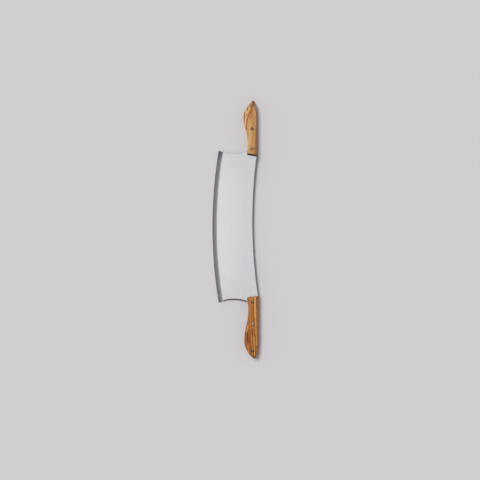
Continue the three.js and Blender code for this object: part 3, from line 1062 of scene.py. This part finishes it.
def short_handle_wood():
    """Golden wood, with two knots, a darker ridge, a painted highlight along the belly facet, and painted
    shade along the spine side and at the tip.
    """
    grain = {
        "tones": [srgb(172, 121, 72), srgb(190, 144, 93), srgb(199, 156, 106), srgb(211, 172, 122)],
        "wander": (5.0, 0.0, 5.0),
        "growth": ((0.16, 0.010, 0.11), 4.0, 0.55),
        "growth_range": (0.26, 0.72),
        "lines": ((0.9, 0.016, 0.7), 2.0, 0.5),
        "line_tint": (srgb(166, 114, 64), 0.5),
        "pore": srgb(140, 94, 53),
        "painted_side_shade": (srgb(168, 112, 62), 0.8),
        "end_grain_and_shade": (srgb(50, 30, 10), 0.95),
        "end_reach": 2.4,
    }
    ridge, stain_and_shadow = srgb(162, 90, 40), srgb(158, 86, 42)
    pale, knot, knot_halo = srgb(236, 198, 144), srgb(78, 44, 16), srgb(150, 94, 46)
    edge, tip = srgb(150, 88, 40), srgb(72, 28, 10)
    marks = [
        ((85.0, 13.8), (76.0, 16.6), 1.3, 0.9, ridge, 0.9),
        ((76.0, 16.6), (68.0, 18.8), 1.5, 0.8, ridge, 0.95),
        ((68.0, 18.8), (50.0, 20.2), 1.5, 0.9, ridge, 0.9),
        ((93.0, 9.2), (83.0, 11.2), 2.0, 1.7, stain_and_shadow, 0.85),
        ((83.0, 11.2), (71.0, 11.8), 1.5, 1.7, stain_and_shadow, 0.7),
        # Painted highlight along the lit belly facet, just past its ridge
        ((92.0, 14.2), (83.0, 17.2), 0.9, 0.6, pale, 0.65),
        ((83.0, 17.2), (75.5, 19.4), 0.9, 0.6, pale, 0.75),
        ((75.5, 19.4), (67.0, 21.6), 0.9, 0.7, pale, 0.65),
        ((67.0, 21.6), (55.0, 22.4), 0.9, 0.7, pale, 0.6),
        ((89.0, 19.2), (79.0, 21.8), 0.9, 0.7, pale, 0.7),
        ((84.0, 24.4), (62.0, 24.8), 1.2, 0.9, edge, 0.8),
        ((78.0, 22.8), (70.0, 23.4), 0.9, 0.8, srgb(176, 118, 66), 0.6),
        ((91.6, 17.1), (88.4, 17.7), 1.2, 1.2, knot_halo, 0.6),
        ((90.8, 17.2), (89.2, 17.5), 0.6, 0.8, knot, 0.95),
        ((81.4, 18.8), (77.6, 19.6), 1.2, 1.2, knot_halo, 0.6),
        ((80.4, 19.0), (78.4, 19.4), 0.7, 0.8, knot, 0.95),
        ((105.5, 6.4), (99.0, 4.6), 2.2, 1.5, srgb(124, 66, 28), 0.85),
        ((98.0, 3.4), (87.0, 1.2), 1.3, 1.5, srgb(140, 82, 36), 0.7),
        # Painted shade on the tip's spine side
        ((106.5, 5.6), (102.6, 4.4), 1.7, 1.3, tip, 0.95),
        # Painted shade along the rounded edge of the spine side
        ((56.0, 0.6), (22.0, 1.0), 1.6, 1.7, edge, 0.65),
        ((26.0, 0.8), (12.0, 1.6), 2.2, 1.8, srgb(146, 82, 32), 0.6),
        ((12.0, 1.4), (1.0, 2.4), 2.6, 1.6, srgb(136, 74, 28), 0.65),
    ]
    return handle_wood("golden_handle_wood", HANDLES["short_handle"], grain, marks)


def long_handle_wood():
    """Orange-brown wood in gold and dark stripes, with a red patch over the belly, a painted highlight
    along the belly facet, and painted shade along the spine side and at the tip.
    """
    grain = {
        "tones": [srgb(130, 68, 26), srgb(154, 93, 42), srgb(174, 114, 60), srgb(197, 138, 79)],
        "wander": (3.0, 0.0, 3.0),
        "growth": ((0.34, 0.010, 0.24), 4.0, 0.55),
        "growth_range": (0.30, 0.70),
        "lines": ((1.1, 0.014, 0.8), 2.0, 0.5),
        "line_tint": (srgb(138, 76, 30), 0.6),
        "pore": srgb(104, 54, 22),
        "painted_side_shade": (srgb(166, 112, 66), 0.6),
        "end_grain_and_shade": (srgb(150, 92, 44), 0.5),
        "end_reach": 1.2,
    }
    dark, red = srgb(132, 70, 28), srgb(110, 44, 16)
    gold, brown = srgb(210, 153, 88), srgb(144, 84, 36)
    marks = [
        ((-3.0, 5.4), (38.0, 5.3), 1.8, 0.5, gold, 0.85),
        ((38.0, 5.0), (62.0, 4.1), 1.2, 0.7, gold, 0.7),
        ((62.0, 3.6), (94.0, 2.6), 1.0, 0.7, gold, 0.65),
        ((79.0, 6.7), (104.0, 5.9), 1.1, 0.8, gold, 0.25),
        ((77.0, 8.4), (92.0, 8.3), 0.7, 0.5, gold, 0.5),
        ((77.0, 12.3), (91.0, 12.2), 0.7, 0.5, gold, 0.25),
        ((2.0, 16.2), (27.0, 16.0), 1.1, 0.9, gold, 0.35),
        ((-3.0, 10.4), (44.0, 10.3), 0.6, 0.5, gold, 0.3),
        ((-3.0, 8.3), (44.0, 8.2), 0.8, 0.5, dark, 0.85),
        ((20.0, 12.3), (74.0, 12.3), 0.9, 0.6, dark, 0.85),
        # Painted shade along the rounded edge of the spine side
        ((-3.0, 2.0), (22.0, 2.0), 1.3, 0.6, srgb(132, 74, 30), 0.95),
        ((20.0, 2.0), (46.0, 2.0), 0.9, 0.6, brown, 0.85),
        ((44.0, 6.6), (78.0, 6.5), 0.8, 0.6, dark, 0.8),
        ((64.0, 10.3), (93.0, 10.2), 1.1, 0.7, dark, 0.95),
        ((74.0, 4.3), (91.0, 4.5), 0.8, 0.6, dark, 0.75),
        ((66.0, 14.2), (92.0, 14.6), 0.9, 0.9, brown, 0.6),
        ((34.0, 17.8), (60.0, 18.8), 0.8, 1.0, dark, 0.35),
        ((70.0, 20.4), (90.0, 19.2), 2.0, 2.2, red, 0.85),
        ((65.0, 19.0), (72.0, 20.0), 1.3, 1.4, srgb(126, 60, 24), 0.7),
        ((91.0, 18.8), (102.0, 15.2), 1.2, 1.6, srgb(140, 76, 34), 0.5),
        # Painted highlight along the lit belly facet, just past its ridge
        ((57.0, 20.2), (70.0, 22.4), 0.8, 0.6, srgb(222, 166, 110), 0.85),
        ((2.0, 19.6), (14.0, 18.0), 1.6, 1.8, srgb(168, 96, 48), 0.45),
        ((98.0, 11.6), (102.6, 11.6), 1.1, 1.1, srgb(126, 62, 24), 0.8),
        ((109.4, 8.5), (117.0, 8.0), 0.8, 0.6, srgb(96, 38, 12), 0.9),
        ((109.0, 6.3), (115.5, 6.2), 0.9, 0.7, gold, 0.75),
        # Painted shade on the tip, which faces away from the light
        ((121.8, 7.0), (117.8, 7.4), 1.9, 1.9, srgb(98, 44, 16), 0.85),
    ]
    return handle_wood("striped_handle_wood", HANDLES["long_handle"], grain, marks)


# The cutter


def place_points(name, handles):
    """A point at every rivet of some handles, marked with how polished its heads are."""
    places = np.vstack([rivet_places(handle) for handle in handles])
    mesh = mesh_of(name, np.column_stack([places, np.zeros(len(places))]), [])
    polish = mesh.attributes.new("polish", "FLOAT", "POINT")
    polish.data.foreach_set("value", [share for handle in handles for share in handle["polish"].values()])
    return object_of(name, mesh)


def belong(piece, slot, *nodes):
    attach(piece, "root")
    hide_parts(*nodes)


def add_blade(places):
    values = {
        "Edge Radius": EDGE_RADIUS,
        "Bevel Width": BEVEL_WIDTH,
        "Half Thickness": half_plate,
        "Half Land": EDGE_LAND / 2,
        "Shoulder Slope": SHOULDER_SLOPE,
        "Bore Radius": bore_radius,
        "Rivet Places": places,
        "Material": blade_steel(),
    }
    blade = run_tree(object_of("ground_blade", plate_blank()), grinding_tree(), values)
    finish_mesh(blade, SHARP_STEEL)
    belong(blade, "blade_steel", "blade")


def add_scales(handle_name, boring, finish):
    """Both wooden scales of a handle."""
    handle = HANDLES[handle_name]
    places = place_points(f"{handle_name}_places", [handle])
    values = {
        "Bore Radius": bore_radius,
        "Seat Radius": HEAD_DIAMETER / 2 + RIVET_CLEARANCE,
        "Seat Height": head_underside - RIVET_CLEARANCE,
        "Rivet Places": places,
        "Material": finish,
    }
    for face_name, face in (("front", 1), ("back", -1)):
        form = object_of(f"{handle_name}_{face_name}_wood", scale_form(handle, face))
        wood = run_tree(form, boring, {**values, "Side": float(face)})
        finish_mesh(wood, SHARP_WOOD)
        belong(wood, f"{handle_name}_wood", f"{handle_name}_{face_name}_scale")
    bpy.data.objects.remove(places)


def add_rivet_halves(half, name, shank, own_sizes, places, finish):
    """One half, male or female, of every rivet."""
    sizes = {
        "Head Radius": HEAD_DIAMETER / 2,
        "Rim Height": rim,
        "Rim Break": RIM_BREAK,
        "Crown": HEAD_CROWN,
        "Head Underside": head_underside,
        "Shank End": POST_END_GAP - head_underside,
        **own_sizes,
    }
    at_places = object_of(name, places.data.copy())
    rivets = run_tree(at_places, rivet_tree(name, sizes, shank), {**sizes, "Material": finish})
    finish_mesh(rivets, SHARP_RIVET)
    nodes = [f"{h}_{place}_rivet_{half}" for h in HANDLES for place in HANDLES[h]["rivets"]]
    belong(rivets, "rivet_steel", *nodes)


all_places = place_points("rivet_places", list(HANDLES.values()))
add_blade(all_places)
boring = boring_tree()
add_scales("short_handle", boring, short_handle_wood())
add_scales("long_handle", boring, long_handle_wood())
post_sizes = {"Shank Radius": POST_DIAMETER / 2, "Side": 1.0}
tube_sizes = {
    "Shank Radius": TUBE_DIAMETER / 2,
    "Hole Radius": POST_DIAMETER / 2 + RIVET_CLEARANCE,
    "Side": -1.0,
}
rivet_finish = rivet_steel()
add_rivet_halves("male", "rivet_posts", post_shank, post_sizes, all_places, rivet_finish)
add_rivet_halves("female", "rivet_tubes", tube_shank, tube_sizes, all_places, rivet_finish)
bpy.data.objects.remove(all_places)


# Floor, light and camera, in metres

FLOOR_REACH = 12.0
FLOOR_COLOUR = srgb(210, 207, 209)
FLOOR_ROUGHNESS = 0.9
FLOOR_SHINE = 0.1

# What metal mirrors overhead: a bright panel, the dark round it and the pale walls beyond, each at its
# degrees from the panel's middle
PANEL_FALLOFF = [
    (0, 0.95),
    (10, 1.0),
    (18, 1.0),
    (22, 0.42),
    (25, 0.28),
    (34, 0.26),
    (42, 0.36),
    (55, 0.55),
    (78, 0.75),
    (90, 0.80),
]
PANEL_TILT = math.radians(8.0)  # towards the side of the cutting edge
WINDOW_TOWARDS = Vector((-0.22, 0.68, 0.70))
WINDOW_RANGE = (36.0, 14.0)  # degrees from its middle at which it starts and is full
FILL_LIGHT = 0.38
KEY_TOWARDS = Vector((-0.300, 0.325, 0.897))
KEY_STRENGTH = 2.143
KEY_SPREAD = math.radians(20.0)

CAMERA_AT = (0.00895, -0.02045, 1.4)
CAMERA_LENS = 52.2
CAMERA_SENSOR = 36.0


def pale_floor():
    corners = [(x * FLOOR_REACH, y * FLOOR_REACH, 0) for x, y in ((-1, -1), (1, -1), (1, 1), (-1, 1))]
    floor = object_of("floor", mesh_of("floor", corners, [[0, 1, 2, 3]]))
    material, _, shader = new_material("pale_floor")
    shader["Base Color"].default_value = FLOOR_COLOUR
    shader["Roughness"].default_value = FLOOR_ROUGHNESS
    shader["Specular IOR Level"].default_value = FLOOR_SHINE
    floor.data.materials.append(material)


def soft_studio():
    """A soft panel overhead and a window past the shorter handle, which metal mirrors, and even fill."""
    world = bpy.data.worlds.new("soft_studio")
    bpy.context.scene.world = world
    world.use_nodes = True
    graph = Graph(world.node_tree)
    direction = graph.add("ShaderNodeTexCoord", out="Generated")

    def turned_from(middle):
        """Degrees between a direction and the middle of a light."""
        cosine = graph.vector("DOT_PRODUCT", direction, middle.normalized(), out="Value")
        return graph.math("DEGREES", graph.math("ARCCOSINE", cosine))

    panel = Vector((-math.sin(PANEL_TILT), 0.0, math.cos(PANEL_TILT)))
    widest, _ = PANEL_FALLOFF[-1]
    stops = [(angle / widest, grey(value)) for angle, value in PANEL_FALLOFF]
    mirrored = graph.ramp(graph.math("DIVIDE", turned_from(panel), widest), stops)
    mirrored = graph.mix(graph.ease(turned_from(WINDOW_TOWARDS), *WINDOW_RANGE), mirrored, grey(1.0))
    ray = graph.add("ShaderNodeLightPath").node.outputs
    seen = graph.math("MAXIMUM", ray["Is Camera Ray"], ray["Is Glossy Ray"])
    seen = graph.math("MAXIMUM", seen, ray["Is Transmission Ray"])
    light = graph.mix(seen, grey(FILL_LIGHT), mirrored)
    background = graph.add("ShaderNodeBackground", light, 1.0)
    graph.put(graph.tree.nodes.new("ShaderNodeOutputWorld").inputs["Surface"], background)


def key_lamp():
    data = bpy.data.lights.new("key", "SUN")
    data.energy = KEY_STRENGTH
    data.angle = KEY_SPREAD
    lamp = object_of("key", data)
    lamp.rotation_euler = KEY_TOWARDS.to_track_quat("Z", "Y").to_euler()
    lamp.visible_glossy = False


def overhead_camera():
    data = bpy.data.cameras.new("camera")
    data.sensor_width = CAMERA_SENSOR
    data.lens = CAMERA_LENS
    camera = object_of("camera", data)
    camera.location = CAMERA_AT
    bpy.context.scene.camera = camera


pale_floor()
soft_studio()
key_lamp()
overhead_camera()
bpy.context.scene.view_settings.view_transform = "Standard"
